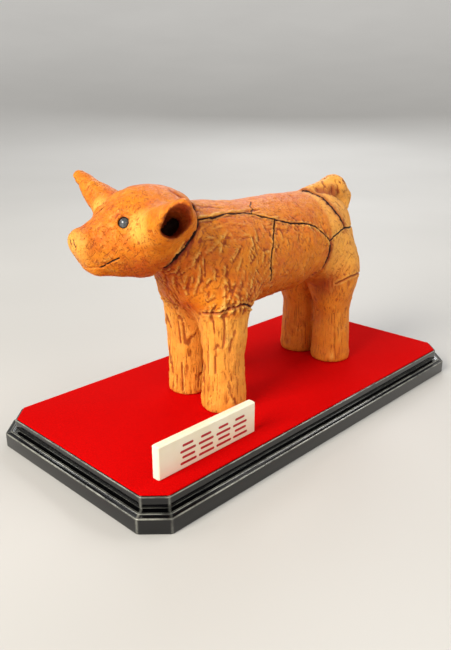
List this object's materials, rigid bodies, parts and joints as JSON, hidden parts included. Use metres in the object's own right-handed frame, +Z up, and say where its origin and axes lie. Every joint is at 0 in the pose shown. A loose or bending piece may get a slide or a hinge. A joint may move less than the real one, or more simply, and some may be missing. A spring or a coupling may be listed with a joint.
{
  "type": "haniwa dog figurine on plinth",
  "caption": "Terracotta-coloured haniwa dog figurine standing on a felt-topped black stepped display plinth with an upright name plate.",
  "frame": {"origin": "middle of the plinth's underside", "axes": "+Z up; -X is the way the dog's body faces; -Y is its left side, where the name plate stands"},
  "size_m": [0.1556, 0.0768, 0.0813],
  "materials": {
    "black_lacquer": "gloss black lacquer",
    "red_felt": "short felt pile",
    "ivory_plate": "satin",
    "painted_clay": "matte paint over a body assumed to be cast resin",
    "eye_bead": "polished"
  },
  "bodies": {
    "root": {"plinth": "black_lacquer", "felt_top": "red_felt", "name_plate": "ivory_plate", "dog_figure": "painted_clay", "eye_left": "eye_bead", "eye_right": "eye_bead"}
  },
  "joints": []
}
